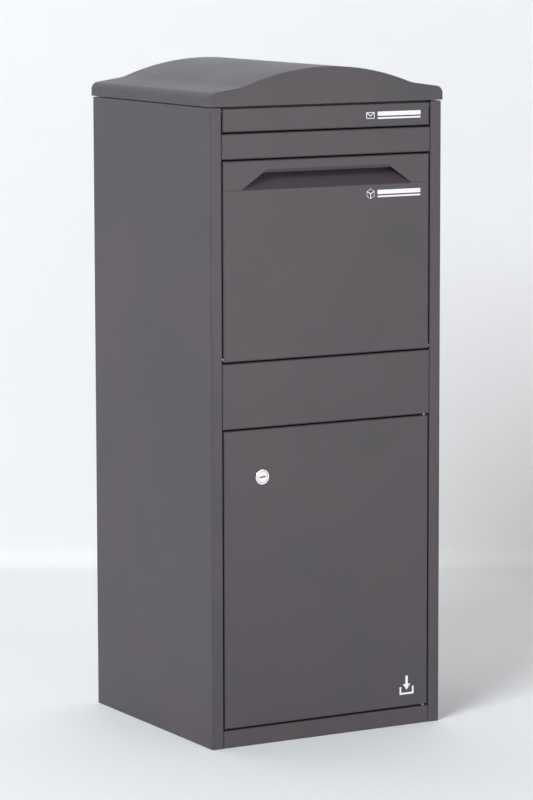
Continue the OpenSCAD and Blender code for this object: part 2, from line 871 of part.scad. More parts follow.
// Sloping floor of the hopper, with a flange down the inside of the door
module hopper_slide() {
    door_y = sheet - hinge_inset;
    run = [cos(parcel_open_angle), -sin(parcel_open_angle)];
    up = [sin(parcel_open_angle), cos(parcel_open_angle)];
    color(dark_coat) from_hinge(-cheek_half, cheek_half) polygon([
        [door_y, slide_height(door_y, slide_offset + sheet)],
        [door_y, slide_height(door_y, slide_offset) - slide_flange],
        [door_y + sheet, slide_height(door_y, slide_offset) - slide_flange],
        [door_y + sheet, slide_height(door_y + sheet, slide_offset)],
        run * slide_end + up * slide_offset,
        run * slide_end + up * (slide_offset + sheet)
    ]);
}

module cheek() {
    door_y = sheet - hinge_inset;
    far_y = 2 * cheek_radius;
    color(dark_coat) from_hinge(cheek_half - sheet, cheek_half) intersection() {
        circle(cheek_radius, $fn = 180);
        polygon([
            [door_y, slide_height(door_y, slide_offset + sheet)],
            [far_y, slide_height(far_y, slide_offset + sheet)],
            [far_y, far_y],
            [door_y, far_y]
        ]);
    }
}

module hopper_left_cheek() {
    mirror([1, 0, 0]) cheek();
}

module hopper_right_cheek() {
    cheek();
}

// Moves its children onto the lock's axis, +Z pointing into the cabinet
module on_lock(y) {
    translate([lock_x, y, lock_z]) rotate([-90, 0, 0]) children();
}

module retrieval_door_panel() {
    height = retrieval_top - retrieval_bottom;
    color(coat) difference() {
        translate([0, front_y, retrieval_bottom]) pan(2 * door_half, height, edge_depth);
        translate([side_hinge_x, side_hinge_y, retrieval_bottom - cut]) {
            cylinder(r = pin_radius + running_clearance, h = height + 2 * cut);
        }
        on_lock(front_y - cut) cylinder(r = barrel_radius, h = sheet + 2 * cut);
    }
}

module retrieval_door_stiffener() {
    bottom = retrieval_bottom + stiffener_margin;
    height = retrieval_top - stiffener_margin - bottom;
    hollow = stiffener_width - 2 * stiffener_flange;
    color(dark_coat) translate([stiffener_x - stiffener_width / 2, inner_front_y, bottom]) {
        difference() {
            cube([stiffener_width, stiffener_depth, height]);
            translate([stiffener_flange, -cut, -cut]) {
                cube([hollow, stiffener_depth - sheet + cut, height + 2 * cut]);
            }
            for (x = [-cut, stiffener_width - stiffener_flange + sheet]) {
                translate([x, sheet, -cut]) {
                    cube([stiffener_flange - sheet + cut, stiffener_depth, height + 2 * cut]);
                }
            }
        }
    }
}

module lock_housing() {
    barrel_length = barrel_end_y - front_y;
    color(chrome) on_lock(front_y) difference() {
        union() {
            rotate_extrude() translate([0, -lock_proud]) {
                square([lock_face_radius - lock_edge_radius, lock_proud]);
                translate([0, lock_edge_radius]) square([lock_face_radius, lock_proud - lock_edge_radius]);
                translate([lock_face_radius - lock_edge_radius, lock_edge_radius]) circle(lock_edge_radius);
            }
            cylinder(r = barrel_radius, h = barrel_length);
        }
        translate([0, 0, -lock_proud - cut]) {
            cylinder(r = plug_radius + running_clearance, h = lock_proud + barrel_length + 2 * cut);
        }
        translate([0, 0, -lock_proud]) {
            cylinder(r = plug_face_radius + plug_groove, h = 2 * plug_face_inset + plug_face_thickness);
        }
    }
}

module lock_nut() {
    color(zinc) on_lock(inner_front_y) difference() {
        cylinder(r = lock_nut_radius, h = lock_nut_thickness, $fn = 6);
        translate([0, 0, -cut]) cylinder(r = barrel_radius, h = lock_nut_thickness + 2 * cut);
    }
}

// Turning core of the lock, with a stepped keyway in its face
module lock_plug() {
    length = cam_y - front_y + lock_proud;
    color(chrome) on_lock(front_y - lock_proud) difference() {
        union() {
            translate([0, 0, plug_inset]) cylinder(r = plug_radius, h = length - plug_inset);
            translate([0, 0, plug_face_inset]) cylinder(r = plug_face_radius, h = plug_face_thickness);
            translate([-square_half, -square_half, length]) {
                cube([2 * square_half, 2 * square_half, cam_thickness]);
            }
        }
        for (half = [-1, 1]) {
            translate([half * keyway_length / 4, -half * keyway_width / 4, 0]) {
                cube([keyway_length / 2 + keyway_overlap, keyway_width, 2 * keyway_depth], center = true);
            }
        }
    }
}

module lock_cam() {
    color(zinc) on_lock(cam_y) difference() {
        union() {
            cylinder(r = cam_width / 2, h = cam_thickness);
            translate([-cam_width / 2, 0, 0]) cube([cam_width, cam_reach - cam_corner, cam_thickness]);
            translate([cam_corner - cam_width / 2, 0, 0]) {
                cube([cam_width - 2 * cam_corner, cam_reach, cam_thickness]);
            }
            for (x = [-1, 1]) translate([x * (cam_width / 2 - cam_corner), cam_reach - cam_corner, 0]) {
                cylinder(r = cam_corner, h = cam_thickness);
            }
        }
        translate([-square_half, -square_half, -cut]) {
            cube([2 * square_half, 2 * square_half, cam_thickness + 2 * cut]);
        }
    }
}

module lock_cam_screw() {
    color(zinc) on_lock(cam_y + cam_thickness) difference() {
        cylinder(r = screw_head_radius, h = screw_head_height);
        for (turn = [0, 90]) translate([0, 0, screw_head_height]) rotate([0, 0, turn]) {
            cube(screw_slot, center = true);
        }
    }
}

left_side_panel();
right_side_panel();
left_front_stile();
right_front_stile();
back_panel();
base_tray();
middle_front_rail();
upper_front_rail();
top_panel();
letter_chute();
letter_shaft_wall();
hopper_stop();
hopper_stop_buffers();
parcel_door_seal();
door_stop_brackets();
door_stop_buffers();
parcel_door_pins();
retrieval_door_pins();
letter_flap_rod();
letter_flap_spring();
rear_rivets();
roof_cover();
roof_front_gable();
roof_rear_gable();
roof_base();
roof_spacers();
roof_bolts();
roof_nuts();
letter_flap();
parcel_door_panel();
parcel_door_grip();
hopper_slide();
hopper_left_cheek();
hopper_right_cheek();
retrieval_door_panel();
retrieval_door_stiffener();
lock_housing();
lock_nut();
lock_plug();
lock_cam();
lock_cam_screw();
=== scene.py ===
import json
import math

import bpy
from mathutils import Matrix, Vector


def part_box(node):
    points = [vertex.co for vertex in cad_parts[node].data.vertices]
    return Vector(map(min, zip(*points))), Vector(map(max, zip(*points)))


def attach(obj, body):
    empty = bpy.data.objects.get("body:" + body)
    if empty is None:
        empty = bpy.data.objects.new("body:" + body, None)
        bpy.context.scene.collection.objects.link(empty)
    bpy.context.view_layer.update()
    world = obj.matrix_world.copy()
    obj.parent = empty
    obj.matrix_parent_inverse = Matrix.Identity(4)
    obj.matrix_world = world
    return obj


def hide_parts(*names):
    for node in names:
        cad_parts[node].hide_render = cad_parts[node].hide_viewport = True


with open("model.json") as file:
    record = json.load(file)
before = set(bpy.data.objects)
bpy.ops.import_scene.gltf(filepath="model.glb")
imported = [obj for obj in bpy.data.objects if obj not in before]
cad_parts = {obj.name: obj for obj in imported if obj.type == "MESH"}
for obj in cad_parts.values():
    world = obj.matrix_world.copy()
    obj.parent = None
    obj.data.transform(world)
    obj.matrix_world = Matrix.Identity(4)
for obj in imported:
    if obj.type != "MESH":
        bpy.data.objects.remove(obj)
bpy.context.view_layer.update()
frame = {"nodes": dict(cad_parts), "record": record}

mm = 0.001


cameraSettings = dict(
    place=(-2.8059, -4.9486, 1.2938),
    azimuth=-29.568,  # degrees round the box, 0 looks along +Y
    elevation=7.878,  # degrees above the horizon
    roll=-0.126,
    lens=162.18,
)


def addCamera(settings):
    data = bpy.data.cameras.new("camera")
    data.lens = settings["lens"]
    data.sensor_width = 36
    data.clip_end = 100
    camera = bpy.data.objects.new("camera", data)
    bpy.context.scene.collection.objects.link(camera)
    azimuth, elevation, roll = (math.radians(settings[k]) for k in ("azimuth", "elevation", "roll"))
    back = Vector((
        math.sin(azimuth) * math.cos(elevation),
        -math.cos(azimuth) * math.cos(elevation),
        math.sin(elevation),
    ))
    right = Vector((math.cos(azimuth), math.sin(azimuth), 0))
    up = back.cross(right)
    turned = right * math.cos(roll) + up * math.sin(roll)
    basis = Matrix((turned, back.cross(turned), back)).transposed()
    camera.matrix_world = Matrix.Translation(settings["place"]) @ basis.to_4x4()
    bpy.context.scene.camera = camera


addCamera(cameraSettings)
print("camera set")


def newGroup(name, inputs, outputs):
    group = bpy.data.node_groups.new(name, "ShaderNodeTree")
    kinds = {"f": "NodeSocketFloat", "v": "NodeSocketVector", "c": "NodeSocketColor"}
    for label, kind, value in inputs:
        socket = group.interface.new_socket(name=label, in_out="INPUT", socket_type=kinds[kind])
        if value is not None:
            socket.default_value = value
    for label, kind in outputs:
        group.interface.new_socket(name=label, in_out="OUTPUT", socket_type=kinds[kind])
    return group, group.nodes.new("NodeGroupInput"), group.nodes.new("NodeGroupOutput")


def addNode(tree, kind, settings=None, **inputs):
    node = tree.nodes.new(kind)
    for key, value in (settings or {}).items():
        setattr(node, key, value)
    for key, value in inputs.items():
        socket = node.inputs[int(key[1:])] if key[1:].isdigit() else node.inputs[key.replace("_", " ")]
        if isinstance(value, bpy.types.NodeSocket):
            tree.links.new(value, socket)
        else:
            socket.default_value = value
    return node


def math2(tree, operation, a, b):
    return addNode(tree, "ShaderNodeMath", {"operation": operation}, i0=a, i1=b).outputs[0]


def mixColour(tree, factor, a, b, blend="MIX"):
    node = addNode(tree, "ShaderNodeMix", {"data_type": "RGBA", "blend_type": blend})
    for socket, value in ((node.inputs[0], factor), (node.inputs[6], a), (node.inputs[7], b)):
        if isinstance(value, bpy.types.NodeSocket):
            tree.links.new(value, socket)
        else:
            socket.default_value = value
    return node.outputs[2]


def spread(tree, value, low, high, toLow, toHigh):
    node = addNode(tree, "ShaderNodeMapRange", Value=value)
    for label, number in (("From Min", low), ("From Max", high), ("To Min", toLow), ("To Max", toHigh)):
        if isinstance(number, bpy.types.NodeSocket):
            tree.links.new(number, node.inputs[label])
        else:
            node.inputs[label].default_value = number
    return node.outputs["Result"]


effectSettings = dict(
    grainDetail=2.0, peelDetail=1.0, cellShare=0.45, cellRange=(0.05, 0.35),
    driftDetail=4.0, driftRange=(0.35, 0.65),
    patchScale=38.0, patchDetail=6.0, patchRange=(0.4, 0.62), patchLeast=0.15,
    markStretch=(1.0, 1.0, 9.0), markTurn=(0.3, 0.5, 0.2), markDetail=5.0, markRange=(0.56, 0.7),
)


# Fine texture of a powder coat: tight grain on a slow orange peel
def powderGrainGroup(s):
    group, start, end = newGroup(
        "powderGrain",
        [("Vector", "v", None), ("Grain", "f", 1500.0), ("Peel", "f", 240.0), ("Peel Share", "f", 0.35)],
        [("Height", "f"), ("Speckle", "f")],
    )
    vector = start.outputs["Vector"]
    fine, slow = start.outputs["Grain"], start.outputs["Peel"]
    grain = addNode(group, "ShaderNodeTexNoise", Vector=vector, Scale=fine, Detail=s["grainDetail"])
    peel = addNode(group, "ShaderNodeTexNoise", Vector=vector, Scale=slow, Detail=s["peelDetail"])
    share = start.outputs["Peel Share"]
    height = math2(group, "ADD", grain.outputs["Fac"], math2(group, "MULTIPLY", peel.outputs["Fac"], share))
    cellScale = math2(group, "MULTIPLY", fine, s["cellShare"])
    cells = addNode(group, "ShaderNodeTexVoronoi", Vector=vector, Scale=cellScale)
    speckle = spread(group, cells.outputs["Distance"], *s["cellRange"], 1.0, 0.0)
    group.links.new(height, end.inputs["Height"])
    group.links.new(speckle, end.inputs["Speckle"])
    return group


# Slow drift between two colours, as pigment and film thickness vary
def colourDriftGroup(s):
    group, start, end = newGroup(
        "colourDrift",
        [("Vector", "v", None), ("First", "c", None), ("Second", "c", None), ("Scale", "f", 6.0)],
        [("Colour", "c"), ("Mask", "f")],
    )
    given = start.outputs
    noise = addNode(
        group, "ShaderNodeTexNoise", Vector=given["Vector"], Scale=given["Scale"], Detail=s["driftDetail"],
    )
    mask = spread(group, noise.outputs["Fac"], *s["driftRange"], 0.0, 1.0)
    group.links.new(mixColour(group, mask, given["First"], given["Second"]), end.inputs["Colour"])
    group.links.new(mask, end.inputs["Mask"])
    return group


# Dust that gathers low down, where the box meets the ground
def dustGroup(s):
    group, start, end = newGroup(
        "groundDust",
        [("Vector", "v", None), ("Reach", "f", 0.1), ("Amount", "f", 0.3)],
        [("Mask", "f")],
    )
    vector = start.outputs["Vector"]
    height = addNode(group, "ShaderNodeSeparateXYZ", Vector=vector).outputs["Z"]
    low = spread(group, height, 0.0, start.outputs["Reach"], 1.0, 0.0)
    patches = addNode(
        group, "ShaderNodeTexNoise", Vector=vector, Scale=s["patchScale"], Detail=s["patchDetail"],
    )
    patchy = spread(group, patches.outputs["Fac"], *s["patchRange"], s["patchLeast"], 1.0)
    broken = math2(group, "MULTIPLY", low, patchy)
    group.links.new(math2(group, "MULTIPLY", broken, start.outputs["Amount"]), end.inputs["Mask"])
    return group


# Long fine scratches and wipe marks
def scratchGroup(s):
    group, start, end = newGroup(
        "wipeMarks",
        [("Vector", "v", None), ("Scale", "f", 60.0), ("Amount", "f", 1.0)],
        [("Mask", "f")],
    )
    given = start.outputs
    stretched = addNode(
        group, "ShaderNodeMapping", Vector=given["Vector"], Scale=s["markStretch"], Rotation=s["markTurn"],
    )
    vector = stretched.outputs[0]
    noise = addNode(group, "ShaderNodeTexNoise", Vector=vector, Scale=given["Scale"], Detail=s["markDetail"])
    lines = spread(group, noise.outputs["Fac"], *s["markRange"], 0.0, 1.0)
    group.links.new(math2(group, "MULTIPLY", lines, start.outputs["Amount"]), end.inputs["Mask"])
    return group


groups = dict(
    grain=powderGrainGroup(effectSettings),
    drift=colourDriftGroup(effectSettings),
    dust=dustGroup(effectSettings),
    scratch=scratchGroup(effectSettings),
)
print("shader groups built")


def newMaterial(name):
    material = bpy.data.materials.new(name)
    material.use_nodes = True
    shader = material.node_tree.nodes["Principled BSDF"]
    place = material.node_tree.nodes.new("ShaderNodeTexCoord").outputs["Object"]
    return material, material.node_tree, shader, place


def useGroup(tree, key, **inputs):
    node = tree.nodes.new("ShaderNodeGroup")
    node.node_tree = groups[key]
    for label, value in inputs.items():
        socket = node.inputs[label.replace("_", " ")]
        if isinstance(value, bpy.types.NodeSocket):
            tree.links.new(value, socket)
        else:
            socket.default_value = value
    return node


def bump(tree, shader, height, strength, distance):
    node = addNode(tree, "ShaderNodeBump", Height=height, Strength=strength, Distance=distance)
    tree.links.new(node.outputs["Normal"], shader.inputs["Normal"])


def coatMaterial(name, s):
    material, tree, shader, place = newMaterial(name)
    drift = useGroup(tree, "drift", Vector=place, First=s["first"], Second=s["second"], Scale=s["driftScale"])
    grain = useGroup(tree, "grain", Vector=place, Grain=s["grain"], Peel=s["peel"], Peel_Share=s["peelShare"])
    dust = useGroup(tree, "dust", Vector=place, Reach=s["dustReach"], Amount=s["dustAmount"])
    wipe = useGroup(tree, "scratch", Vector=place, Scale=s["wipeScale"], Amount=s["wipeAmount"])
    flecks = math2(tree, "MULTIPLY", grain.outputs["Speckle"], s["speckle"])
    speckled = mixColour(tree, flecks, drift.outputs["Colour"], s["fleck"])
    dustAndSeamShade = mixColour(tree, dust.outputs["Mask"], speckled, s["dust"])
    height = grain.outputs["Height"]
    if s["seam"]:  # painted shade: a dark hairline in the groove where two coated pieces meet, at one height, with a dip in the bump there too
        level = addNode(tree, "ShaderNodeSeparateXYZ", Vector=place).outputs["Z"]
        away = math2(tree, "ABSOLUTE", math2(tree, "SUBTRACT", level, s["seam"]), 0.0)
        line = spread(tree, away, *s["seamReach"], 1.0, 0.0)
        dustAndSeamShade = mixColour(tree, math2(tree, "MULTIPLY", line, s["seamShade"]), dustAndSeamShade, s["seamShadeColour"])
        height = math2(tree, "SUBTRACT", height, math2(tree, "MULTIPLY", line, s["seamDepth"]))
    tree.links.new(dustAndSeamShade, shader.inputs["Base Color"])
    rough = spread(tree, drift.outputs["Mask"], 0.0, 1.0, s["roughLow"], s["roughHigh"])
    rough = math2(tree, "SUBTRACT", rough, math2(tree, "MULTIPLY", wipe.outputs["Mask"], s["wipeGloss"]))
    rough = math2(tree, "ADD", rough, math2(tree, "MULTIPLY", dust.outputs["Mask"], s["dustMatt"]))
    tree.links.new(rough, shader.inputs["Roughness"])
    shader.inputs["Specular IOR Level"].default_value = s["specular"]
    bump(tree, shader, height, s["bump"], s["bumpDepth"])
    return material


coatSettings = dict(
    first=(0.064, 0.048, 0.057, 1), second=(0.056, 0.050, 0.057, 1), driftScale=7.0,
    grain=1500.0, peel=240.0, peelShare=0.35, speckle=0.10, fleck=(0.12, 0.11, 0.12, 1),
    dustReach=0.02, dustAmount=0.05, dust=(0.30, 0.28, 0.26, 1), wipeScale=30.0, wipeAmount=0.4,
    roughLow=0.42, roughHigh=0.46, wipeGloss=0.05, dustMatt=0.3,
    specular=0.5, bump=0.35, bumpDepth=0.25 * mm,
    # seam keys: painted shade along the hairline groove, used on the parcel door
    seam=None, seamReach=(0.2 * mm, 0.7 * mm), seamShade=0.55, seamDepth=2.0,
    seamShadeColour=(0.012, 0.010, 0.012, 1),
)
innerSettings = dict(
    coatSettings, first=(0.056, 0.047, 0.054, 1), second=(0.063, 0.057, 0.063, 1), driftScale=14.0,
    roughLow=0.5, roughHigh=0.62, dustAmount=0.25, dustReach=0.12, wipeAmount=2.0,
)
rivetCoatSettings = dict(
    coatSettings, first=(0.12, 0.115, 0.12, 1), second=(0.10, 0.098, 0.105, 1), roughLow=0.28, roughHigh=0.36,
)


zincSettings = dict(
    spangle=700.0, spangleReach=0.8, light=(0.66, 0.67, 0.69, 1), dull=(0.52, 0.54, 0.57, 1),
    wipeScale=900.0, rough=(0.26, 0.42), bump=0.2, bumpDepth=0.05 * mm,
)


def zincMaterial(s):
    material, tree, shader, place = newMaterial("brightZinc")
    cells = addNode(tree, "ShaderNodeTexVoronoi", {"feature": "F1"}, Vector=place, Scale=s["spangle"])
    tone = spread(tree, cells.outputs["Distance"], 0.0, s["spangleReach"], 0.0, 1.0)
    tree.links.new(mixColour(tree, tone, s["light"], s["dull"]), shader.inputs["Base Color"])
    wipe = useGroup(tree, "scratch", Vector=place, Scale=s["wipeScale"], Amount=1.0)
    tree.links.new(spread(tree, wipe.outputs["Mask"], 0.0, 1.0, *s["rough"]), shader.inputs["Roughness"])
    bump(tree, shader, wipe.outputs["Mask"], s["bump"], s["bumpDepth"])
    shader.inputs["Metallic"].default_value = 1.0
    return material


# Chrome with turned rings round the lock's axis, with painted shade down in its keyway and its ring groove
def chromeMaterial(s):
    material, tree, shader, place = newMaterial("lockChrome")
    low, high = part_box("lock_housing")
    axis = (low + high) / 2
    centred = addNode(tree, "ShaderNodeMapping", Vector=place, Location=(-axis.x, -low.y, -axis.z))
    rings = addNode(
        tree, "ShaderNodeTexWave", {"wave_type": "RINGS", "rings_direction": "Y"},
        Vector=centred.outputs[0], Scale=s["rings"], Distortion=s["ringWander"], Detail=1.0,
    )
    wipe = useGroup(tree, "scratch", Vector=place, Scale=s["wipeScale"], Amount=1.0)
    tone = mixColour(tree, wipe.outputs["Mask"], s["bright"], s["wiped"])
    side, depth, height = addNode(tree, "ShaderNodeSeparateXYZ", Vector=centred.outputs[0]).outputs
    squares = math2(tree, "ADD", math2(tree, "MULTIPLY", side, side), math2(tree, "MULTIPLY", height, height))
    inside = math2(tree, "LESS_THAN", math2(tree, "SQRT", squares, 0.0), s["grooveRadius"])
    # painted shade: near-black base colour set back from the face, inside the groove radius
    keywayShade = math2(tree, "MULTIPLY", spread(tree, depth, *s["shade"], 0.0, 1.0), inside)
    tree.links.new(mixColour(tree, keywayShade, tone, s["keywayShadeColour"]), shader.inputs["Base Color"])
    rough = spread(tree, wipe.outputs["Mask"], 0.0, 1.0, *s["rough"])
    matt = math2(tree, "MULTIPLY", keywayShade, s["deepMatt"])
    tree.links.new(math2(tree, "ADD", rough, matt), shader.inputs["Roughness"])
    bump(tree, shader, rings.outputs["Fac"], s["bump"], s["bumpDepth"])
    shader.inputs["Metallic"].default_value = 1.0
    return material


chromeSettings = dict(
    rings=900.0, ringWander=0.4, wipeScale=500.0,
    bright=(0.90, 0.89, 0.90, 1), wiped=(0.66, 0.65, 0.67, 1), keywayShadeColour=(0.010, 0.009, 0.010, 1),
    grooveRadius=9.1 * mm, shade=(0.45 * mm, 0.8 * mm), rough=(0.08, 0.2), deepMatt=0.5,
    bump=0.12, bumpDepth=0.04 * mm,
)


rubberSettings = dict(
    scale=420.0, detail=4.0, first=(0.012, 0.012, 0.013, 1), second=(0.03, 0.03, 0.031, 1),
    range=(0.3, 0.7), rough=(0.62, 0.82), bump=0.4, bumpDepth=0.2 * mm,
)


def rubberMaterial(s):
    material, tree, shader, place = newMaterial("blackRubber")
    noise = addNode(tree, "ShaderNodeTexNoise", Vector=place, Scale=s["scale"], Detail=s["detail"])
    tone = mixColour(tree, noise.outputs["Fac"], s["first"], s["second"])
    tree.links.new(tone, shader.inputs["Base Color"])
    tree.links.new(spread(tree, noise.outputs["Fac"], *s["range"], *s["rough"]), shader.inputs["Roughness"])
    bump(tree, shader, noise.outputs["Fac"], s["bump"], s["bumpDepth"])
    return material


inkSettings = dict(
    coverScale=160.0, coverDetail=5.0, coverRange=(0.35, 0.65),
    full=(0.90, 0.90, 0.91, 1), thin=(0.82, 0.82, 0.84, 1),
    weave=2400.0, roughRange=(0.3, 0.7), rough=(0.42, 0.55), bump=0.2, bumpDepth=0.05 * mm,
)


# Screen-printed white ink: slightly uneven cover and a soft weave from the mesh
def inkMaterial(s):
    material, tree, shader, place = newMaterial("whiteInk")
    cover = addNode(tree, "ShaderNodeTexNoise", Vector=place, Scale=s["coverScale"], Detail=s["coverDetail"])
    worn = spread(tree, cover.outputs["Fac"], *s["coverRange"], 0.0, 1.0)
    tree.links.new(mixColour(tree, worn, s["full"], s["thin"]), shader.inputs["Base Color"])
    mesh = addNode(tree, "ShaderNodeTexNoise", Vector=place, Scale=s["weave"], Detail=1.0)
    rough = spread(tree, cover.outputs["Fac"], *s["roughRange"], *s["rough"])
    tree.links.new(rough, shader.inputs["Roughness"])
    bump(tree, shader, mesh.outputs["Fac"], s["bump"], s["bumpDepth"])
    return material


finishes = {
    "coat": coatMaterial("anthraciteCoat", coatSettings),
    "inner_coat": coatMaterial("innerCoat", innerSettings),
    "rivet": coatMaterial("rivetCoat", rivetCoatSettings),
    "zinc": zincMaterial(zincSettings),
    "chrome": chromeMaterial(chromeSettings),
    "rubber": rubberMaterial(rubberSettings),
    "ink": inkMaterial(inkSettings),
}
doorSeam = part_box("parcel_door_grip")[0].z
doorCoat = coatMaterial("parcelDoorCoat", dict(coatSettings, seam=doorSeam))
slotOf = {part["node"]: part["material_slot"] for part in frame["record"]["subparts"]}
seamNodes = ("parcel_door_panel", "parcel_door_grip")
for node, piece in frame["nodes"].items():
    piece.data.materials.clear()
    piece.data.materials.append(doorCoat if node in seamNodes else finishes[slotOf[node]])
print("finishes on", len(frame["nodes"]), "CAD nodes")


def roundedLoop(x, z, width, height, radius, steps=6):
    corners = [(x + width - radius, z + height - radius, 0), (x + radius, z + height - radius, 90),
               (x + radius, z + radius, 180), (x + width - radius, z + radius, 270)]
    loop = []
    for cx, cz, start in corners:
        for i in range(steps + 1):
            angle = math.radians(start + 90 * i / steps)
            loop.append((cx + radius * math.cos(angle), cz + radius * math.sin(angle)))
    return loop


def printMark(name, loops, corner, faceY, body, film):
    curve = bpy.data.curves.new(name, "CURVE")
    curve.dimensions = "2D"
    curve.fill_mode = "BOTH"
    curve.extrude = film / 2
    for loop in loops:
        spline = curve.splines.new("POLY")
        spline.points.add(len(loop) - 1)
        for point, (x, z) in zip(spline.points, loop):
            point.co = (x * mm, z * mm, 0, 1)
        spline.use_cyclic_u = True
    drawn = bpy.data.objects.new(name + "Curve", curve)
    bpy.context.scene.collection.objects.link(drawn)
    bpy.context.view_layer.update()
    mesh = bpy.data.meshes.new_from_object(drawn.evaluated_get(bpy.context.evaluated_depsgraph_get()))
    bpy.data.objects.remove(drawn)
    mesh.name = name
    shift = Matrix.Translation((corner[0], faceY - film / 2, corner[1]))
    mesh.transform(shift @ Matrix.Rotation(math.pi / 2, 4, "X"))
    mesh.materials.clear()
    mesh.materials.append(finishes["ink"])
    piece = bpy.data.objects.new(name, mesh)
    bpy.context.scene.collection.objects.link(piece)
    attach(piece, body)
    return piece


markSettings = dict(
    film=0.12 * mm,
    stroke=1.1,
    letterIcon=(14.7, 10.0),
    parcelIcon=(13.6, 15.6),
    barWidth=78.0,
    bars=((-5.9, 2.6), (-1.1, 6.6)),  # lower edge and height, from the middle
    barGap=5.5,
    rightMargin=16.3 * mm,
    parcelDrop=14.5 * mm,
    dropSize=(26.0, 30.0),
    dropMargin=(25.5 * mm, 19.5 * mm),
    rounding=1.2,
    barRounding=0.45,
    foldShare=0.42,
    slantShare=0.75,
    faceGap=1.3,
    wallShare=0.12,
    rimShare=0.42,
    shaftShare=0.085,
    headShare=0.27,
    neckShare=0.56,
    tipShare=0.24,
)


# Envelope: a frame cut into the flap's triangle and the body below it
def envelopeLoops(size, stroke):
    width, height = size
    middle, fold = width / 2, height * markSettings["foldShare"]
    slant = stroke * markSettings["slantShare"]
    right, top = width - stroke, height - stroke
    return [
        roundedLoop(0, 0, width, height, markSettings["rounding"]),
        [(stroke + slant, top), (right - slant, top), (middle, fold + slant)],
        [(stroke, stroke), (right, stroke), (right, top - slant),
         (middle, fold - slant), (stroke, top - slant)],
    ]


# Parcel: a hexagon with the three faces of a carton cut out of it
def cartonLoops(size, stroke):
    width, height = size
    cx, cz, side = width / 2, height / 2, height / 2

    def spoke(degrees, radius):
        angle = math.radians(degrees)
        return (cx + radius * math.cos(angle), cz + radius * math.sin(angle))

    loops = [[spoke(30 + 60 * i, side) for i in range(6)]]
    for turn in (90, 210, 330):
        centre = spoke(turn, side / 2)
        shrink = 1 - markSettings["faceGap"] * stroke / side
        corners = [(cx, cz), spoke(turn - 60, side), spoke(turn, side), spoke(turn + 60, side)]
        loops.append([
            (centre[0] + (x - centre[0]) * shrink, centre[1] + (z - centre[1]) * shrink) for x, z in corners
        ])
    return loops


# Tray with an arrow that points down into it
def dropLoops(size):
    width, height = size
    s = markSettings
    middle, wall, rim = width / 2, width * s["wallShare"], height * s["rimShare"]
    shaft, head = width * s["shaftShare"], width * s["headShare"]
    neck, tip = height * s["neckShare"], height * s["tipShare"]
    tray = [
        (0, 0), (width, 0), (width, rim), (width - wall, rim),
        (width - wall, wall), (wall, wall), (wall, rim), (0, rim),
    ]
    arrow = [
        (middle - shaft, height), (middle + shaft, height), (middle + shaft, neck), (middle + head, neck),
        (middle, tip), (middle - head, neck), (middle - shaft, neck),
    ]
    return [tray, arrow]


def barLoops(x, z, width, bars):
    most, share = markSettings["rounding"], markSettings["barRounding"]
    return [roundedLoop(x, z + low, width, height, min(most, height * share)) for low, height in bars]


def addMarks(s):
    flapLow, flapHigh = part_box("letter_flap")
    gripLow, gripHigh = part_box("parcel_door_grip")
    doorLow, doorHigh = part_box("retrieval_door_panel")
    flapLevel, parcelLevel = (flapLow.z + flapHigh.z) / 2, gripLow.z - s["parcelDrop"]
    rows = (
        ("letterMark", "letter_flap", envelopeLoops, s["letterIcon"], flapHigh.x, flapLevel, flapLow.y),
        ("parcelMark", "parcel_door", cartonLoops, s["parcelIcon"], gripHigh.x, parcelLevel, gripLow.y),
    )
    for name, body, icon, size, edge, level, faceY in rows:
        span = (size[0] + s["barGap"] + s["barWidth"]) * mm
        bars = barLoops(size[0] + s["barGap"], size[1] / 2, s["barWidth"], s["bars"])
        loops = icon(size, s["stroke"]) + bars
        corner = (edge - s["rightMargin"] - span, level - size[1] / 2 * mm)
        printMark(name, loops, corner, faceY, body, s["film"])

    corner = (doorHigh.x - s["dropMargin"][0] - s["dropSize"][0] * mm, doorLow.z + s["dropMargin"][1])
    printMark("dropMark", dropLoops(s["dropSize"]), corner, doorLow.y, "retrieval_door", s["film"])


addMarks(markSettings)
print("marks printed")


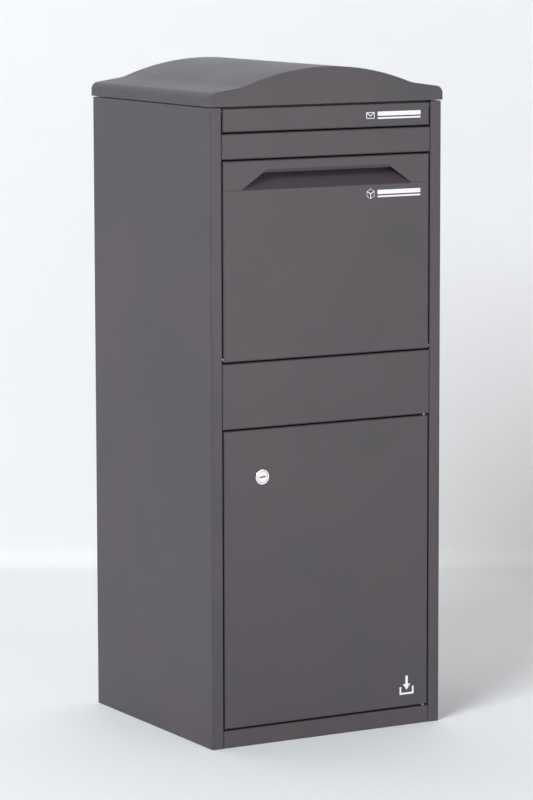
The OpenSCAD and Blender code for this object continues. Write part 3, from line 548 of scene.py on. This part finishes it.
def domeRowTree():
    tree = bpy.data.node_groups.new("domeRow", "GeometryNodeTree")
    for label, kind, value in (
        ("Geometry", "NodeSocketGeometry", None), ("Count", "NodeSocketInt", 6),
        ("Start", "NodeSocketVector", None), ("Step", "NodeSocketVector", None),
        ("Head Radius", "NodeSocketFloat", 3.6 * mm), ("Head Height", "NodeSocketFloat", 1.1 * mm),
        ("Pin Radius", "NodeSocketFloat", 1.2 * mm), ("Pin Sink", "NodeSocketFloat", 0.5 * mm),
        ("Turn", "NodeSocketVector", None), ("Finish", "NodeSocketMaterial", None),
    ):
        socket = tree.interface.new_socket(name=label, in_out="INPUT", socket_type=kind)
        if value is not None:
            socket.default_value = value
    tree.interface.new_socket(name="Geometry", in_out="OUTPUT", socket_type="NodeSocketGeometry")
    start, end = tree.nodes.new("NodeGroupInput"), tree.nodes.new("NodeGroupOutput")
    given = start.outputs
    line = addNode(tree, "GeometryNodeMeshLine", {"mode": "OFFSET"}, Count=given["Count"],
                   Start_Location=given["Start"], Offset=given["Step"])
    ball = addNode(tree, "GeometryNodeMeshUVSphere", Segments=32, Rings=24, Radius=given["Head Radius"])
    position = addNode(tree, "GeometryNodeInputPosition").outputs[0]
    x, y, z = addNode(tree, "ShaderNodeSeparateXYZ", Vector=position).outputs
    squares = math2(tree, "ADD", math2(tree, "MULTIPLY", x, x), math2(tree, "MULTIPLY", y, y))
    radius = math2(tree, "SQRT", squares, 0.0)
    flat = math2(tree, "MULTIPLY", z, math2(tree, "DIVIDE", given["Head Height"], given["Head Radius"]))
    inPin = math2(tree, "LESS_THAN", radius, given["Pin Radius"])
    onTop = math2(tree, "GREATER_THAN", z, 0.0)
    sink = math2(tree, "MULTIPLY", math2(tree, "MULTIPLY", inPin, onTop), given["Pin Sink"])
    moved = addNode(tree, "ShaderNodeCombineXYZ", X=x, Y=y, Z=math2(tree, "SUBTRACT", flat, sink))
    head = addNode(tree, "GeometryNodeSetPosition", Geometry=ball.outputs["Mesh"], Position=moved.outputs[0])
    turn = addNode(tree, "FunctionNodeEulerToRotation", Euler=given["Turn"])
    copies = addNode(tree, "GeometryNodeInstanceOnPoints", Points=line.outputs["Mesh"],
                     Instance=head.outputs["Geometry"], Rotation=turn.outputs[0])
    solid = addNode(tree, "GeometryNodeRealizeInstances", Geometry=copies.outputs["Instances"])
    smooth = addNode(tree, "GeometryNodeSetShadeSmooth", Geometry=solid.outputs["Geometry"])
    coloured = addNode(
        tree, "GeometryNodeSetMaterial", Geometry=smooth.outputs["Geometry"], Material=given["Finish"],
    )
    tree.links.new(coloured.outputs["Geometry"], end.inputs["Geometry"])
    return tree


domeRow = domeRowTree()


def rowMesh(name, values):
    holder = bpy.data.objects.new(name + "Row", bpy.data.meshes.new(name + "Row"))
    bpy.context.scene.collection.objects.link(holder)
    modifier = holder.modifiers.new("domeRow", "NODES")
    modifier.node_group = domeRow
    for socket in domeRow.interface.items_tree:
        if socket.in_out == "INPUT" and socket.name in values:
            modifier[socket.identifier] = values[socket.name]
    bpy.context.view_layer.update()
    mesh = bpy.data.meshes.new_from_object(holder.evaluated_get(bpy.context.evaluated_depsgraph_get()))
    bpy.data.objects.remove(holder)
    return mesh


def joinRows(name, rows, body):
    meshes = [rowMesh(f"{name}{i}", row) for i, row in enumerate(rows)]
    objects = []
    for mesh in meshes:
        piece = bpy.data.objects.new(name, mesh)
        bpy.context.scene.collection.objects.link(piece)
        objects.append(piece)
    with bpy.context.temp_override(active_object=objects[0], selected_editable_objects=objects):
        bpy.ops.object.join()
    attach(objects[0], body)
    return objects[0]


rivetSettings = dict(headRadius=3.6 * mm, headHeight=1.1 * mm, pinRadius=1.5 * mm, pinSink=0.9 * mm, count=6)


def addRearRivets(s):
    low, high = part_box("rear_rivets")
    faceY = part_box("left_side_panel")[1].y
    bottom, top = low.z + s["headRadius"], high.z - s["headRadius"]
    across = high.x - s["headRadius"]
    step = (top - bottom) / (s["count"] - 1)
    rows = []
    for x in (-across, across):
        rows.append({
            "Count": s["count"], "Start": (x, faceY, bottom), "Step": (0, 0, step),
            "Head Radius": s["headRadius"], "Head Height": s["headHeight"], "Pin Radius": s["pinRadius"],
            "Pin Sink": s["pinSink"], "Turn": (-math.pi / 2, 0, 0), "Finish": finishes["rivet"],
        })
    rivets = joinRows("rearRivets", rows, "cabinet")
    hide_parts("rear_rivets")


weldSettings = dict(
    radius=2.8 * mm, height=0.22 * mm, dimple=1.7 * mm, sink=0.2 * mm, count=9, inset=5 * mm, margin=18 * mm,
    sheet=1.2 * mm,
)


def addDoorWelds(s):
    low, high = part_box("retrieval_door_stiffener")
    flangeY = low.y + s["sheet"]
    step = (high.z - low.z - 2 * s["margin"]) / (s["count"] - 1)
    rows = []
    for x in (low.x + s["inset"], high.x - s["inset"]):
        rows.append({
            "Count": s["count"], "Start": (x, flangeY, low.z + s["margin"]), "Step": (0, 0, step),
            "Head Radius": s["radius"], "Head Height": s["height"], "Pin Radius": s["dimple"],
            "Pin Sink": s["sink"], "Turn": (-math.pi / 2, 0, 0), "Finish": finishes["inner_coat"],
        })
    welds = joinRows("stiffenerWelds", rows, "retrieval_door")


addRearRivets(rivetSettings)
addDoorWelds(weldSettings)
print("rivets and welds placed")


studioSettings = dict(
    wallDistance=1.282, wallHeight=5.0, reach=9.0, cove=0.04, coveSteps=10,
    # painted light: the floor of the paper sweep is painted lighter than its wall
    floorPaintedLight=(0.96, 0.955, 0.955, 1), wallPaintedShade=(0.83, 0.825, 0.82, 1),
    paperColour=(0.97, 0.97, 0.975, 1), paperScale=1.4, paperDetail=3.0, paperRough=0.7,
    worldColour=(0.905, 0.93, 0.99, 1), ambientColour=(0.975, 0.925, 0.925, 1),
    worldStrength=0.54, overheadStrength=0.2, worldRange=(0.05, 0.75),
)
# Name, place, target, size in metres, power in watts and colour
areaLights = (
    ("keyLight", (-5.0, -3.0, 4.2), (0, 0, 0.4), 2.6, 370, (0.85, 0.935, 1)),
    ("frontFill", (1.6, -4.9, 0.6), (0, 0, 0.4), 2.2, 78, (1, 0.96, 0.95)),
    ("topLight", (-0.3, 0.6, 3.6), (0, 0, 0.5), 2.2, 8, (1, 1, 1)),
)


def backdropMesh(s):
    azimuth = math.radians(cameraSettings["azimuth"])
    away = Vector((-math.sin(azimuth), math.cos(azimuth), 0))
    side = Vector((math.cos(azimuth), math.sin(azimuth), 0))
    profile = [(-s["reach"], 0.0)]
    for i in range(s["coveSteps"] + 1):
        angle = math.pi / 2 * i / s["coveSteps"]
        inward = s["wallDistance"] - s["cove"] + s["cove"] * math.sin(angle)
        profile.append((inward, s["cove"] * (1 - math.cos(angle))))
    profile.append((s["wallDistance"], s["wallHeight"]))
    points, faces = [], []
    for along, height in profile:
        for across in (-s["reach"], s["reach"]):
            points.append(away * along + side * across + Vector((0, 0, height)))
    for i in range(len(profile) - 1):
        faces.append((2 * i, 2 * i + 1, 2 * i + 3, 2 * i + 2))
    mesh = bpy.data.meshes.new("backdrop")
    mesh.from_pydata(points, [], faces)
    mesh.polygons.foreach_set("use_smooth", [True] * len(faces))
    return mesh


def backdropMaterial(s):
    material, tree, shader, place = newMaterial("paperBackdrop")
    noise = addNode(tree, "ShaderNodeTexNoise", Vector=place, Scale=s["paperScale"], Detail=s["paperDetail"])
    height = addNode(tree, "ShaderNodeSeparateXYZ", Vector=place).outputs["Z"]
    # painted light: the lighter floor colour blends into the darker wall colour up the cove
    light = mixColour(tree, spread(tree, height, 0.0, s["cove"], 0.0, 1.0), s["floorPaintedLight"], s["wallPaintedShade"])
    paper = mixColour(tree, noise.outputs["Fac"], light, s["paperColour"], "MULTIPLY")
    tree.links.new(paper, shader.inputs["Base Color"])
    shader.inputs["Roughness"].default_value = s["paperRough"]
    clear = tree.nodes.new("ShaderNodeBsdfTransparent")
    facing = tree.nodes.new("ShaderNodeNewGeometry").outputs["Backfacing"]
    oneSided = tree.nodes.new("ShaderNodeMixShader")
    tree.links.new(facing, oneSided.inputs[0])
    tree.links.new(shader.outputs[0], oneSided.inputs[1])
    tree.links.new(clear.outputs[0], oneSided.inputs[2])
    tree.links.new(oneSided.outputs[0], tree.nodes["Material Output"].inputs["Surface"])
    return material


def addArea(name, place, target, size, power, colour):
    light = bpy.data.lights.new(name, "AREA")
    light.shape = "SQUARE"
    light.size = size
    light.energy = power
    light.color = colour
    lamp = bpy.data.objects.new(name, light)
    lamp.location = place
    lamp.rotation_euler = (Vector(target) - Vector(place)).to_track_quat("-Z", "Y").to_euler()
    bpy.context.scene.collection.objects.link(lamp)


def addStudio(s):
    backdrop = bpy.data.objects.new("backdrop", backdropMesh(s))
    backdrop.data.materials.append(backdropMaterial(s))
    bpy.context.scene.collection.objects.link(backdrop)
    world = bpy.data.worlds.new("paleRoom")
    bpy.context.scene.world = world
    world.use_nodes = True
    ground = world.node_tree.nodes["Background"]
    ground.inputs["Color"].default_value = s["ambientColour"]
    toward = world.node_tree.nodes.new("ShaderNodeTexCoord").outputs["Generated"]
    lift = addNode(world.node_tree, "ShaderNodeSeparateXYZ", Vector=toward).outputs["Z"]
    strength = spread(world.node_tree, lift, *s["worldRange"], s["worldStrength"], s["overheadStrength"])
    world.node_tree.links.new(strength, ground.inputs["Strength"])
    seen = world.node_tree.nodes.new("ShaderNodeBackground")
    seen.inputs["Color"].default_value = s["worldColour"]
    pick = world.node_tree.nodes.new("ShaderNodeMixShader")
    path = world.node_tree.nodes.new("ShaderNodeLightPath")
    links = world.node_tree.links
    links.new(path.outputs["Is Camera Ray"], pick.inputs[0])
    links.new(ground.outputs[0], pick.inputs[1])
    links.new(seen.outputs[0], pick.inputs[2])
    links.new(pick.outputs[0], world.node_tree.nodes["World Output"].inputs["Surface"])
    for area in areaLights:
        addArea(*area)


addStudio(studioSettings)
bpy.context.scene.view_settings.view_transform = "Standard"
print("studio lit")
